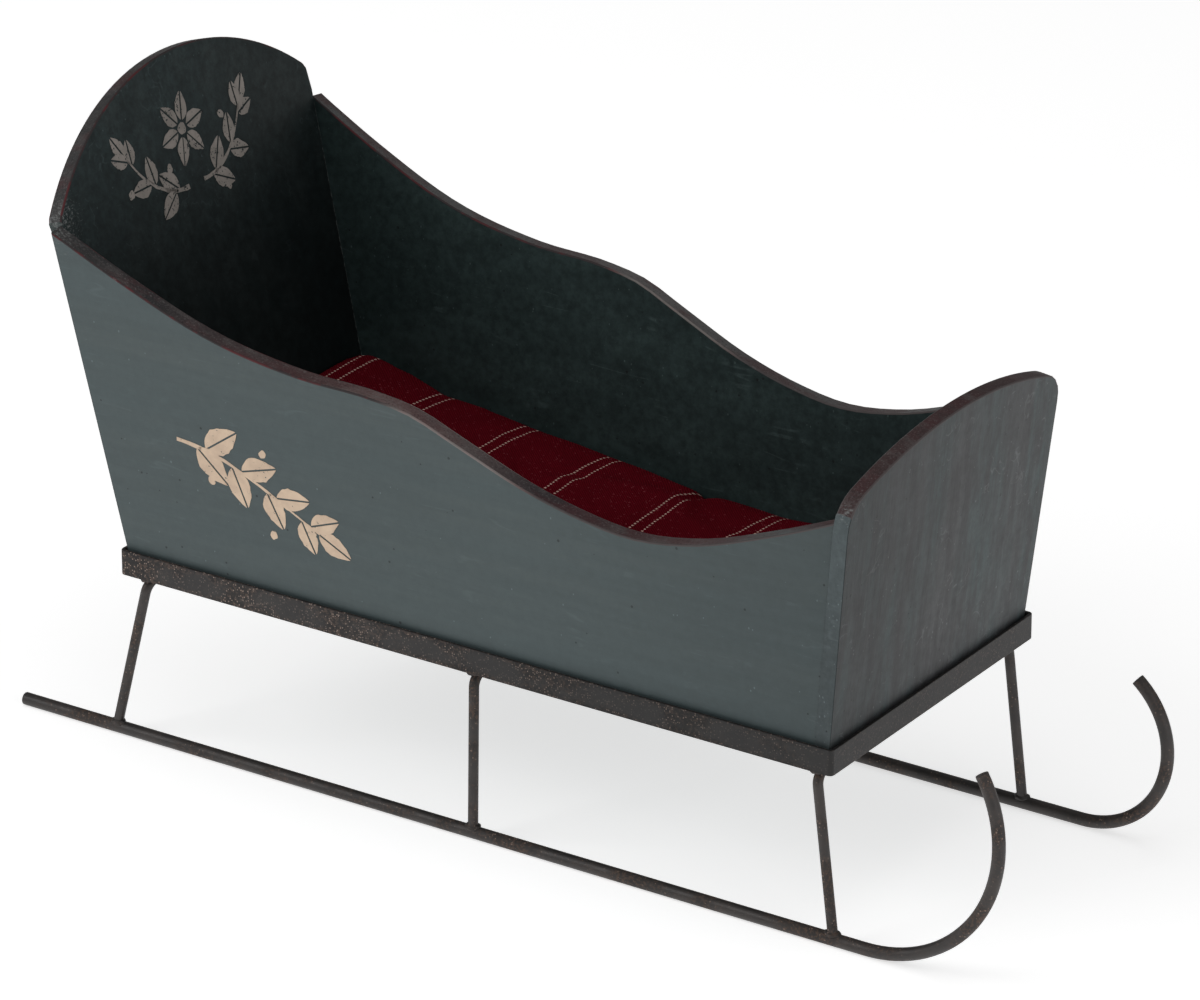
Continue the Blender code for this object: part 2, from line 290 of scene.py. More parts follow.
# Painted boards. "way" is small along the strokes of the brush. Each of "fades" is
# an axis, two places on it, and how light the paint is at each.
boardPaints = {
    "sidePaint": {"paint": (0.0625, 0.0845, 0.0880), "streak": (0.0545, 0.0735, 0.0762),
                  "patch": (0.0665, 0.0865, 0.0885), "streakScale": 420, "way": (0.06, 1, 1),
                  "streakShare": 0.6, "bump": 0.12, "roughness": 0.52, "specular": 0.3,
                  "pits": 0.03, "dust": 0.035, "edge": (0.050, 0.062, 0.064),
                  # the side's fade is painted shade: darker towards the front, where less light
                  # falls
                  "fades": (("X", 0.0, 0.11, 1.0, 0.82),), "mottle": 0.05, "scratch": 0.12},
    "edgePaint": {"paint": (0.061, 0.0785, 0.0825), "streak": (0.055, 0.070, 0.073),
                  "patch": (0.067, 0.085, 0.088), "streakScale": 900, "way": (1, 1, 0.3),
                  "streakShare": 0.5, "bump": 0.25, "roughness": 0.6, "specular": 0.3,
                  "pits": 0.08, "dust": 0.6, "edge": (0.057, 0.073, 0.077),
                  "fades": (("Z", 0.070, 0.102, 0.84, 1.16),), "mottle": 0.16, "scratch": 0.2},
    "frontPaint": {"paint": (0.0600, 0.0630, 0.0655), "streak": (0.031, 0.031, 0.033),
                   "patch": (0.0460, 0.0670, 0.0685), "streakScale": 330, "way": (1, 1, 0.13),
                   "streakShare": 0.9, "bump": 0.2, "roughness": 0.5, "specular": 0.3,
                   "pits": 0.09, "dust": 0.14, "edge": (0.050, 0.047, 0.047),
                   # its fades are painted shade: darker towards the right side and towards the
                   # top
                   "fades": (("Y", -0.046, 0.030, 0.66, 1.0), ("Z", 0.065, 0.112, 1.0, 0.85)),
                   "mottle": 0.2, "scratch": 0.45},
    "innerPaint": {"paint": (0.031, 0.049, 0.0485), "streak": (0.0225, 0.0365, 0.0360),
                   "patch": (0.037, 0.059, 0.0575), "streakScale": 300, "way": (0.15, 1, 0.4),
                   "streakShare": 0.8, "bump": 0.16, "roughness": 0.5, "specular": 0.18,
                   "pits": 0.06, "dust": 0.12, "edge": (0.030, 0.038, 0.037),
                   # its fade is painted shade: darker low inside the tub
                   "fades": (("Z", 0.055, 0.105, 0.92, 1.05),), "mottle": 0.28, "scratch": 0.35},
    # The back board's inside is the inner paint darkened as painted shade, and its fades add
    # more painted shade: darkest low and towards the left side
    "backInnerShadedPaint": {"paint": (0.0150, 0.0248, 0.0256), "streak": (0.0100, 0.0168, 0.0175),
                       "patch": (0.022, 0.031, 0.031), "streakScale": 300,
                       "way": (1, 0.5, 0.2), "streakShare": 0.7, "bump": 0.16,
                       "roughness": 0.5, "specular": 0.18, "pits": 0.06, "dust": 0.10,
                       "edge": (0.036, 0.043, 0.043),
                       "fades": (("Z", 0.093, 0.155, 0.36, 1.20), ("Y", 0.0, 0.040, 1.0, 0.72)),
                       "mottle": 0.34, "scratch": 0.3,
                       # glue and chipped paint along the joint with the sides
                       "joint": (0.105, 0.120, 0.116), "jointTop": (0.131, 0.133)},
}
specks = {"pitCells": 620.0, "pitSize": 0.17, "dustCells": 760.0, "dustSize": 0.17,
          "mottle": 420.0, "pit": (0.012, 0.013, 0.014), "scuffGlint": (0.170, 0.178, 0.175),
          # place and reach of the knocked shoulders of the right rim, behind and in front, where
          # pale scuffs and painted glints of light are put
          "shoulders": ((-0.1175, -0.0520, 0.1350, 0.013), (0.0975, -0.0460, 0.1110, 0.005))}


def glintsAndScuffs(tree, place):
    masks = [useGroup(tree, "scuffsAndGlints", {"Vector": place, "Place": spot[:3],
                                       "Reach": spot[3]})["Mask"]
             for spot in specks["shoulders"]]
    return maths(tree, "MAXIMUM", *masks)


def glueLine(tree, place, z, look):
    # A ragged line along a board's edges, up to where it stands clear of the sides
    inward = put(tree, "Attribute", attribute_name="inward").outputs["Fac"]
    ragged = maths(tree, "ADD", inward, times(tree, cloudy(tree, place, 900.0, 3.0), 0.5))
    return times(tree, spread(tree, ragged, 0.28, 0.42, 0.8, 0.0),
                 spread(tree, z, *look["jointTop"], 1.0, 0.0))


def paintMaterial(name):
    look = boardPaints[name]
    material, tree, shader, place = newMaterial(name, look["roughness"], look["specular"])
    marks = useGroup(tree, "brushMarks", {"Vector": place, "Streaks": look["streakScale"],
                                          "Hairs": look["streakScale"] * 5, "Way": look["way"]})
    patch = blotches(tree, scaled(tree, place, look["way"]), 80.0, 0.5, 0.14)
    colour = mixed(tree, patch, look["paint"], look["patch"])
    streak = times(tree, marks["Mask"], look["streakShare"])
    colour = mixed(tree, streak, colour, look["streak"])
    wear = useGroup(tree, "edgeWear", {"Vector": place, "Reach": 0.12})["Mask"]
    colour = mixed(tree, times(tree, wear, 0.6), colour, look["edge"])
    pits = flecks(tree, place, specks["pitCells"], specks["pitSize"], look["pits"])
    dust = flecks(tree, scaled(tree, place, (1.3, 1.2, 0.9)), specks["dustCells"],
                  specks["dustSize"], look["dust"])
    pale = tuple(channel * 2.1 + 0.02 for channel in look["paint"])
    colour = mixed(tree, times(tree, pits, 0.7), colour, specks["pit"])
    colour = mixed(tree, times(tree, dust, 0.6), colour, pale)
    scratch = useGroup(tree, "scratches", {"Vector": place})["Mask"]
    colour = mixed(tree, times(tree, scratch, look["scratch"]), colour, pale)
    # pale scuffs and painted glints at the shoulders
    colour = mixed(tree, glintsAndScuffs(tree, place), colour, specks["scuffGlint"])
    mottle = cloudy(tree, place, specks["mottle"], 7.0, 0.7)
    strength = spread(tree, mottle, 0.3, 0.7, 1 - look["mottle"], 1 + look["mottle"])
    split = put(tree, "SeparateXYZ", {0: place}).outputs
    for axis, start, end, low, high in look["fades"]:
        strength = times(tree, strength, spread(tree, split[axis], start, end, low, high))
    colour = dimmed(tree, colour, strength)
    if "joint" in look:
        colour = mixed(tree, glueLine(tree, place, split["Z"], look), colour, look["joint"])
    height = maths(tree, "SUBTRACT", times(tree, marks["Hairs"], 0.5), times(tree, pits, 0.8))
    height = maths(tree, "ADD", height, times(tree, marks["Mask"], 0.6))
    height = maths(tree, "ADD", height, times(tree, dust, 0.5))
    finishMaterial(tree, shader, colour, height, look["bump"])
    return material


rimLook = {
    # along the sleigh, from behind the back board to the front board
    "reach": (-0.130, 0.110),
    "stops": ((0.0, (0.040, 0.039, 0.039)), (0.16, (0.022, 0.021, 0.022)),
              (0.33, (0.060, 0.033, 0.033)), (0.45, (0.165, 0.120, 0.114)),
              (0.60, (0.027, 0.020, 0.022)), (0.71, (0.056, 0.024, 0.025)),
              (0.79, (0.122, 0.098, 0.096)), (0.88, (0.102, 0.120, 0.120)),
              (0.925, (0.044, 0.023, 0.023))),
    "far": (0.105, 0.106, 0.105), "wine": (0.062, 0.018, 0.020),
    "dusty": (0.090, 0.078, 0.076), "paleGrain": (0.16, 0.15, 0.15),
    "darkGrain": (0.012, 0.010, 0.011), "roughness": 0.6,
}


def rimMaterial():
    material, tree, shader, place = newMaterial("rimPaint", rimLook["roughness"], 0.3)
    split = put(tree, "SeparateXYZ", {0: place}).outputs
    along = put(tree, "MapRange", {"Value": split["X"], "From Min": rimLook["reach"][0],
                                   "From Max": rimLook["reach"][1]}).outputs["Result"]
    colour = coloured(tree, along, rimLook["stops"])
    # The left rim is greyer from the back board to the middle of the front
    far = times(tree, spread(tree, split["Y"], 0.02, 0.04, 0.0, 0.8),
                spread(tree, split["X"], 0.085, 0.094, 1.0, 0.0))
    colour = mixed(tree, far, colour, rimLook["far"])
    wine = blotches(tree, scaled(tree, place, (0.5, 1, 1)), 120.0, 0.47, 0.07)
    wine = times(tree, wine, spread(tree, split["X"], 0.020, 0.055, 0.55, 0.50))
    dusty = blotches(tree, scaled(tree, place, (0.6, 1.4, 1)), 210.0, 0.42, 0.12)
    grain = cloudy(tree, place, 1900.0, 4.0, 0.75)
    colour = mixed(tree, wine, colour, rimLook["wine"])
    colour = mixed(tree, times(tree, dusty, 0.55), colour, rimLook["dusty"])
    colour = mixed(tree, spread(tree, grain, 0.54, 0.68, 0, 0.6), colour, rimLook["paleGrain"])
    colour = mixed(tree, spread(tree, grain, 0.47, 0.33, 0, 0.8), colour, rimLook["darkGrain"])
    # pale scuffs and painted glints at the shoulders
    colour = mixed(tree, glintsAndScuffs(tree, place), colour, specks["scuffGlint"])
    finishMaterial(tree, shader, colour, grain, 0.35)
    return material


arrisLook = {
    "dark": (0.030, 0.022, 0.023), "undercoat": (0.078, 0.015, 0.018),
    "front": (0.075, 0.062, 0.062), "pale": (0.14, 0.13, 0.13),
    # rubbed to the primer where the sides dip: where this starts and ends along X
    "primer": (0.34, 0.31, 0.29), "dipFrom": (-0.029, -0.018), "dipTo": (0.017, 0.002),
}


def arrisMaterial():
    # The sanded arrises, where the red undercoat shows
    look = arrisLook
    material, tree, shader, place = newMaterial("arrisWear", 0.6, 0.3)
    bare = blotches(tree, place, 130.0, 0.47, 0.06)
    pale = blotches(tree, scaled(tree, place, (1, 1.2, 1.1)), 330.0, 0.33, 0.04)
    x = put(tree, "SeparateXYZ", {0: place}).outputs["X"]
    rear = spread(tree, x, 0.035, -0.02)     # the front part of the rims is paler
    colour = mixed(tree, bare, look["dark"], look["undercoat"])
    colour = mixed(tree, rear, look["front"], colour)
    dip = times(tree, spread(tree, x, *look["dipFrom"]), spread(tree, x, *look["dipTo"]))
    colour = mixed(tree, times(tree, dip, 0.5), colour, look["primer"])
    colour = mixed(tree, times(tree, pale, 0.5), colour, look["pale"])
    finishMaterial(tree, shader, colour, bare, 0.2)
    return material


def cornerMaterial():
    # Painted shade: a dark line along the rounded outer corners of the front board
    material, tree, shader, place = newMaterial("cornerShade", 0.6, 0.2)
    gaps = blotches(tree, place, 420.0, 0.35, 0.05)
    colour = mixed(tree, gaps, (0.028, 0.034, 0.035), (0.085, 0.098, 0.100))
    finishMaterial(tree, shader, colour, gaps, 0.2)
    return material


printLook = {
    "sprigCream": {"print": (0.68, 0.52, 0.38), "shade": (0.56, 0.42, 0.31),
                   "under": (0.080, 0.100, 0.104), "chips": 0.36},
    # on the back board: its "under" is that board's inner paint, darkened there as painted shade
    "sprigGrey": {"print": (0.300, 0.270, 0.245), "shade": (0.22, 0.20, 0.18),
                  "under": (0.019, 0.026, 0.026), "chips": 0.42},
}


def printMaterial(name):
    # Stencilled paint, chipped so that the board's paint shows
    look = printLook[name]
    material, tree, shader, place = newMaterial(name, 0.65, 0.3)
    cloud = blotches(tree, place, 220.0, 0.5, 0.2)
    thin = blotches(tree, place, 110.0, 0.45, 0.15)
    chips = cloudy(tree, place, 1300.0, 3.0, 0.6)
    limit = maths(tree, "ADD", look["chips"] - 0.06, times(tree, thin, 0.07))
    flaked = maths(tree, "LESS_THAN", chips, limit)
    colour = mixed(tree, cloud, look["print"], look["shade"])
    colour = mixed(tree, flaked, colour, look["under"])
    finishMaterial(tree, shader, colour, flaked, 0.2)
    return material


steels = {
    "bandSteel": {"steel": (0.031, 0.0275, 0.0260), "dark": (0.020, 0.018, 0.018),
                  "rust": (0.105, 0.072, 0.057), "fleck": (0.33, 0.25, 0.21),
                  "rustCover": 0.47, "fleckShare": 0.38, "roughness": 0.5,
                  # rust along the strip's two edges, its bare ends, and the painted shade that
                  # darkens it in front
                  "rustyEdge": (0.0012, 0.0034, 0.55), "bareEnd": (0.003, 0.0008, 0.2),
                  "lessInFront": (-0.02, 0.07, 0.85), "shadeInFront": (-0.060, 0.04, 0.92, 0.44)},
    "rodSteel": {"steel": (0.045, 0.0375, 0.0345), "dark": (0.028, 0.025, 0.024),
                 "rust": (0.105, 0.066, 0.048), "fleck": (0.21, 0.15, 0.12),
                 "rustCover": 0.48, "fleckShare": 0.16, "roughness": 0.45},
}


def bandRust(tree, rust, split, look):
    # More rust along both edges of the strip, where the coat is thin, and little
    # on its ends and in front
    middle = (bandLow.z + bandHigh.z) / 2
    off = maths(tree, "ABSOLUTE", maths(tree, "SUBTRACT", split["Z"], middle))
    start, full, most = look["rustyEdge"]
    rust = maths(tree, "ADD", rust, spread(tree, off, start, full, 0.0, most), clamp=True)
    start, full, least = look["bareEnd"]
    end = spread(tree, split["X"], bandHigh.x - start, bandHigh.x - full, 1.0, least)
    start, full, least = look["lessInFront"]
    front = spread(tree, split["X"], start, full, 1.0, least)
    return times(tree, rust, maths(tree, "MINIMUM", end, front))


def steelMaterial(name):
    look = steels[name]
    material, tree, shader, place = newMaterial(name, look["roughness"], 0.5)
    shader.inputs["Metallic"].default_value = 0.2
    cloud = blotches(tree, place, 150.0, 0.5, 0.2)
    rust = blotches(tree, scaled(tree, place, (0.7, 1, 1)), 90.0, look["rustCover"], 0.12)
    split = put(tree, "SeparateXYZ", {0: place}).outputs
    if "rustyEdge" in look:
        rust = bandRust(tree, rust, split, look)
    crumbs = blotches(tree, place, 1500.0, 0.46, 0.06)
    spots = flecks(tree, place, 1900.0, 0.36, look["fleckShare"])
    colour = mixed(tree, cloud, look["steel"], look["dark"])
    colour = mixed(tree, times(tree, times(tree, rust, crumbs), 0.8), colour, look["rust"])
    spots = times(tree, spots, maths(tree, "ADD", rust, 0.15))
    colour = mixed(tree, spots, colour, look["fleck"])
    # painted shade: the band darker towards the front
    if "shadeInFront" in look:
        colour = dimmed(tree, colour, spread(tree, split["X"], *look["shadeInFront"]))
    height = maths(tree, "ADD", crumbs, times(tree, rust, 0.5))
    feed(tree, shader, {"Roughness": spread(tree, rust, 0, 1, look["roughness"], 0.75)})
    finishMaterial(tree, shader, colour, height, 0.18, 0.00008)
    return material


padLook = {
    "cloth": (0.126, 0.0022, 0.0085), "lit": (0.24, 0.014, 0.021),
    "shade": (0.060, 0.0012, 0.0045),
    "threadGlint": (0.34, 0.085, 0.095), "stripe": (0.60, 0.40, 0.34), "thread": 0.00074,
    # middles of the pairs of pale threads, and how far apart a pair's threads are
    "pairs": (-0.0912, -0.0686, -0.0438, -0.0198, 0.0068, 0.0286, 0.0520, 0.0765),
    "pairGap": 0.0033, "stripeWidth": 0.00050, "drift": 0.0012,
}


def clothMaterial():
    material, tree, shader, place = newMaterial("padCloth", 0.95, 0.03)
    split = put(tree, "SeparateXYZ", {0: place}).outputs
    wobble = maths(tree, "SUBTRACT", cloudy(tree, place, 60.0, 1.0), 0.5)
    x = maths(tree, "ADD", split["X"], times(tree, wobble, padLook["drift"]))
    across = maths(tree, "ADD", split["Y"], split["Z"])
    turn = 2 * math.pi / padLook["thread"]
    warp = maths(tree, "SINE", times(tree, x, turn))
    weft = maths(tree, "SINE", times(tree, across, turn))
    weave = times(tree, warp, weft)
    half = padLook["stripeWidth"] / 2
    lines = 0.0
    for middle in padLook["pairs"]:
        away = maths(tree, "ABSOLUTE", maths(tree, "SUBTRACT", x, middle))
        away = maths(tree, "ABSOLUTE", maths(tree, "SUBTRACT", away, padLook["pairGap"] / 2))
        lines = maths(tree, "MAXIMUM", lines, spread(tree, away, half * 1.25, half * 0.75))
    beads = maths(tree, "SINE", times(tree, across, turn * 0.62))
    stripe = times(tree, lines, spread(tree, beads, -0.5, 0.6))
    # none on the end that stands against the back board
    facing = put(tree, "SeparateXYZ", {0: put(tree, "TexCoord").outputs["Normal"]}).outputs["X"]
    stripe = times(tree, stripe, spread(tree, facing, -0.75, -0.5))
    # painted highlights: pale pink specks of light on the threads
    threadGlints = flecks(tree, scaled(tree, place, (1, 1, 0.4)), 1700.0, 0.3, 0.20)
    deep = spread(tree, weave, -0.6, 0.6, 1.0, 0.0)
    colour = mixed(tree, deep, padLook["cloth"], padLook["shade"])
    colour = mixed(tree, spread(tree, weave, 0.3, 0.95, 0.0, 0.6), colour, padLook["lit"])
    patch = blotches(tree, place, 120.0, 0.45, 0.2)
    colour = mixed(tree, times(tree, patch, 0.3), colour, padLook["shade"])
    colour = mixed(tree, times(tree, threadGlints, 0.5), colour, padLook["threadGlint"])
    colour = mixed(tree, stripe, colour, padLook["stripe"])
    height = maths(tree, "ADD", weave, times(tree, stripe, 1.5))
    finishMaterial(tree, shader, colour, height, 0.5, 0.00012)
    return material


def mergedCopy(node):
    bm = bmesh.new()
    bm.from_mesh(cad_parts[node].data)
    bmesh.ops.remove_doubles(bm, verts=bm.verts, dist=mergeGap)
    return bm


def sharpEdges(bm, angle):
    return [edge for edge in bm.edges if len(edge.link_faces) == 2
            and edge.calc_face_angle() > angle]


def eased(bm, edges, width, segments=2):
    # Rounds edges a little, and returns the new faces
    return bmesh.ops.bevel(bm, geom=edges, offset=width, segments=segments, profile=0.5,
                           affect="EDGES", material=-1)["faces"]


def smoothFaces(bm):
    for face in bm.faces:
        face.smooth = True


def evenNormals(obj):
    obj.modifiers.new("Normals", "WEIGHTED_NORMAL").keep_sharp = True


# Each board is a merged copy of its solid, with sanded arrises. "faces" is the
# paint of its outer face and "sides" that of its upright edges. A board is made
# before the ones it is fitted to, since a replaced node can't be measured.
boards = {
    "back_panel": {"piece": "backBoard", "out": (-1, 0, 0), "faces": "frontPaint",
                   "inside": "backInnerShadedPaint", "sides": "innerPaint", "slot": "end_paint"},
    "side_panel_right": {"piece": "sideBoardRight", "out": (0, -1, 0), "faces": "sidePaint",
                         "sides": "sidePaint", "slot": "outer_paint"},
    "side_panel_left": {"piece": "sideBoardLeft", "out": (0, 1, 0), "faces": "sidePaint",
                        "sides": "sidePaint", "slot": "outer_paint"},
    "front_panel": {"piece": "frontBoard", "out": (1, 0, 0), "faces": "frontPaint",
                    "sides": "edgePaint", "rimRise": 0.45, "slot": "end_paint"},
    "floor_board": {"piece": "floorBoard", "out": (0, 0, -1), "faces": "innerPaint",
                    "sides": "innerPaint", "slot": "inner_paint"},
}
boardEdges = {"arris": 0.00038, "corner": 0.00016, "border": 0.0020,
              "sharp": math.radians(35), "jointGap": 0.0003, "tip": (0.0009, 0, -0.0004),
              "tipDepth": 0.0006, "backWidth": 1.0095,
              # how far a point may be moved to its neighbour
              "flushReach": 0.001, "meetReach": 0.0015}
# a board's slots of material, in the order makeBoard adds them
outerFace, innerFace, rimFace, arrisFace, sideFace, cornerFace = range(6)


def sandFlush(vert, inward):
    # Brings an outer corner of a side's front end level with the front board
    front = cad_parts["front_panel"]
    start = vert.co + Vector((0.0006, 0, 0)) - inward * 0.05
    hit, point, _, _ = front.ray_cast(start, inward)
    if hit and abs(point.y - vert.co.y) < boardEdges["flushReach"]:
        vert.co.y = point.y


def meetSide(vert):
    # Closes the glued joint between the back board and a side
    away = Vector((0, math.copysign(1, vert.co.y), 0))
    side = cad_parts["side_panel_left" if away.y > 0 else "side_panel_right"]
    hit, point, _, _ = side.ray_cast(vert.co, away)
    if hit and abs(point.y - vert.co.y) < boardEdges["meetReach"]:
        vert.co.y = point.y


def facesBeside(edge):
    return {face.material_index for face in edge.link_faces}


def jointEdge(node, edge):
    # Edges that are glued to another board
    if node == "front_panel":
        return innerFace in facesBeside(edge)
    return node.startswith("side") and max(face.normal.x for face in edge.link_faces) > 0.8


def fittedBoard(node, out):
    # A copy of the solid, with its glued joints closed
    bm = mergedCopy(node)
    if node.startswith("side"):
        bmesh.ops.join_triangles(bm, faces=bm.faces, angle_face_threshold=0.1,
                                 angle_shape_threshold=math.pi)
        bm.normal_update()
        # The front ends are glued and filled against the front board
        ends = {vert for face in bm.faces if face.normal.x > 0.8 for vert in face.verts}
        bmesh.ops.translate(bm, vec=(boardEdges["jointGap"], 0, 0), verts=list(ends))
        for vert in ends:
            sandFlush(vert, -out)
        # and the upper tips behind are sanded back
        rear = min(vert.co.x for vert in bm.verts)
        tips = [vert for vert in bm.verts if vert.co.x < rear + boardEdges["tipDepth"]]
        bmesh.ops.translate(bm, vec=boardEdges["tip"], verts=tips)
    else:
        bmesh.ops.dissolve_limit(bm, angle_limit=math.radians(0.1), verts=bm.verts,
                                 edges=bm.edges)
    if node == "back_panel":
        # It fills the width between the sides
        bmesh.ops.scale(bm, vec=(1, boardEdges["backWidth"], 1), verts=bm.verts)
        bm.normal_update()
        for vert in {vert for face in bm.faces if abs(face.normal.y) > 0.8
                     for vert in face.verts}:
            meetSide(vert)
    bm.normal_update()
    return bm


def markFaces(bm, look, out):
    # Sets a border inside both faces, and gives each face its slot of material
    inward = bm.verts.layers.float.new("inward")
    for way in (out, -out):
        faces = [face for face in bm.faces if face.normal.dot(way) > 0.7]
        bmesh.ops.inset_region(bm, faces=faces, thickness=boardEdges["border"],
                               use_boundary=True, use_even_offset=True)
        for vert in {vert for face in faces for vert in face.verts}:
            vert[inward] = 1
    bm.normal_update()
    for face in bm.faces:
        facing = face.normal.dot(out)
        face.material_index = (
            outerFace if facing > 0.7 else innerFace if facing < -0.7
            else rimFace if face.normal.z > look.get("rimRise", 0.25) else sideFace)


def sandEdges(bm, node):
    rims = [edge for edge in sharpEdges(bm, boardEdges["sharp"])
            if facesBeside(edge) in ({outerFace, rimFace}, {innerFace, rimFace})]
    for face in eased(bm, rims, boardEdges["arris"], 3):
        face.material_index = arrisFace
    bm.normal_update()
    # The glued joints in front stay tight, so their edges aren't broken
    corners = [edge for edge in sharpEdges(bm, boardEdges["sharp"])
               if sideFace in facesBeside(edge) and not jointEdge(node, edge)]
    rounded = eased(bm, corners, boardEdges["corner"])
    if node == "front_panel":
        bm.normal_update()
        # the front board's rounded outer corners get cornerShade, a painted shade
        for face in rounded:
            if face.normal.x > 0.2:
                face.material_index = cornerFace
    for edge in sharpEdges(bm, boardEdges["sharp"]):
        edge.smooth = False


def makeBoard(node, materials):
    look = boards[node]
    out = Vector(look["out"])
    bm = fittedBoard(node, out)
    markFaces(bm, look, out)
    sandEdges(bm, node)
    smoothFaces(bm)
    board = meshObject(look["piece"], bm)
    for name in (look["faces"], look.get("inside", "innerPaint"), "rimPaint", "arrisWear",
                 look["sides"], "cornerShade"):
        board.data.materials.append(materials[name])
    evenNormals(board)
    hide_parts(node)
    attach(board, "sleigh")
    return board


# Worn stencilled sprigs. Lengths on the board's face: "u" along it, "v" up.
sprigs = {
    "sideSprig": {
        "origin": (-0.0640, 0.0770),
        "stem": ((-0.0225, 0.0085), (-0.008, 0.0080), (0.004, -0.0005), (0.0170, -0.0075)),
        "leaves": 4, "leaf": (0.0120, 0.0034), "spread": 42, "berries": 3,
    },
    # two mirrored stems with a rosette between them
    "backSprig": {
        "origin": (0.0, 0.1370),
        "stem": ((0.0030, -0.0085), (0.012, -0.0090), (0.0185, -0.003), (0.0230, 0.0045)),
        "leaves": 3, "leaf": (0.0082, 0.0023), "spread": 40, "berries": 2,
        "rosette": (0.0, 0.0045), "rosetteSize": 0.0085,
    },
}
stencil = {
    "thickness": 0.00005, "lift": 0.00003,
    "stem": 0.00042, "stalk": 0.0006, "berry": 0.00095, "berryTurn": 84,
    "midrib": 0.00022, "rag": 0.16,     # half of a leaf's bare middle line, and its raggedness
    # where the leaves and the berries stand along the stem, how much a pair of
    # leaves is staggered, and how leaves shrink towards the tip
    "leavesAt": (0.16, 0.90), "berriesAt": (0.25, 0.75), "stagger": 0.03,
    "shorter": 0.32, "narrower": 0.30,
}


def onStem(stem, t):
    # Point and direction along a stem with four control points
    a, b, c, d = (Vector(point) for point in stem)
    s = 1 - t
    point = a * s ** 3 + b * 3 * s * s * t + c * 3 * s * t * t + d * t ** 3
    ahead = (b - a) * s * s + (c - b) * 2 * s * t + (d - c) * t * t
    return point, math.atan2(ahead.y, ahead.x)


def addLeafHalf(bm, base, angle, length, width, side):
    # One half of a pointed leaf, beside the bare line of its midrib
    made = bmesh.ops.create_circle(bm, cap_ends=True, radius=1, segments=34)
    for vert in made["verts"]:
        along = (vert.co.x + 1) / 2
        belly = width * math.sin(math.pi * along ** 0.8) ** 0.85
        rag = noise.noise(Vector((along * 9, side * 3 + length * 900, base[0] * 700)))
        across = stencil["midrib"]
        if vert.co.y > 0.001:
            across += belly * (1 + stencil["rag"] * rag)
        vert.co = (along * length, side * across, 0)
    turnAndMove(bm, made["verts"], base, angle)


def addLeaf(bm, base, angle, length, width):
    for side in (-1, 1):
        addLeafHalf(bm, base, angle, length, width, side)


def addBerry(bm, base, angle, size):
    made = bmesh.ops.create_circle(bm, cap_ends=True, radius=1, segments=18)
    for vert in made["verts"]:
        rag = noise.noise(Vector((vert.co.x * 1.3, vert.co.y * 1.3, base[0] * 700)))
        vert.co = Vector((vert.co.x * size * 1.25, vert.co.y * size, 0)) * (1 + 0.3 * rag)
    turnAndMove(bm, made["verts"], base, angle)


def addStem(bm, stem, width):
    made = bmesh.ops.create_grid(bm, x_segments=24, y_segments=1, size=0.5)
    for vert in made["verts"]:
        t = vert.co.x + 0.5
        point, angle = onStem(stem, t)
        rag = 1 + 0.5 * noise.noise(Vector((t * 14, vert.co.y, stem[0][0] * 300)))
        across = vert.co.y * 2 * width * (1.3 - 0.8 * t) * rag
        vert.co = (point.x - math.sin(angle) * across, point.y + math.cos(angle) * across, 0)


def turnAndMove(bm, verts, base, angle):
    place = Matrix.Translation((base[0], base[1], 0)) @ Matrix.Rotation(angle, 4, "Z")
    bmesh.ops.transform(bm, matrix=place, verts=verts)


def evenly(count, start, end):
    return [start + (end - start) * i / max(1, count - 1) for i in range(count)]


def pointing(angle):
    return Vector((math.cos(angle), math.sin(angle)))


def addSprig(bm, look):
    stem = look["stem"]
    length, width = look["leaf"]
    addStem(bm, stem, stencil["stem"])
    for i, t in enumerate(evenly(look["leaves"], *stencil["leavesAt"])):
        for side in (-1, 1):
            point, angle = onStem(stem, t + side * stencil["stagger"])
            lean = angle + side * math.radians(look["spread"] + 8 * math.sin(i * 2.3 + side))
            addLeaf(bm, point + stencil["stalk"] * pointing(lean), lean,
                    length * (1 - stencil["shorter"] * t), width * (1 - stencil["narrower"] * t))
    point, angle = onStem(stem, 1)
    addLeaf(bm, point, angle, length * 0.8, width * 0.75)
    for i, t in enumerate(evenly(look["berries"], *stencil["berriesAt"])):
        side = 1 if i % 2 else -1
        point, angle = onStem(stem, t)
        away = angle + side * math.radians(stencil["berryTurn"])
        out = length * (0.62 + 0.1 * (i % 3))
        addBerry(bm, point + out * pointing(away), away, stencil["berry"])


def addRosette(bm, centre, radius):
    for i in range(6):
        angle = math.radians(60 * i + 12)
        base = Vector(centre) + 0.24 * radius * pointing(angle)
        addLeaf(bm, base, angle, radius * 0.78, radius * 0.22)
    addBerry(bm, centre, 0, radius * 0.15)


def layOnBoard(bm, name, board, way, place, material):
    # Gives the flat shapes a little thickness and lays them on the board's face,
    # along "way"; place(u, v) gives a point in front of the face
    bmesh.ops.triangulate(bm, faces=bm.faces)
    bmesh.ops.recalc_face_normals(bm, faces=bm.faces)
    bmesh.ops.solidify(bm, geom=bm.faces, thickness=stencil["thickness"])
    bmesh.ops.recalc_face_normals(bm, faces=bm.faces)
    low = min(vert.co.z for vert in bm.verts)
    for vert in bm.verts:
        start = place(vert.co.x, vert.co.y)
        _, point, normal, _ = board.ray_cast(start, way)
        vert.co = point + normal * (stencil["lift"] + vert.co.z - low)
    bmesh.ops.recalc_face_normals(bm, faces=bm.faces)
    piece = meshObject(name, bm)
    piece.data.materials.append(material)
    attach(piece, "sleigh")
    return piece


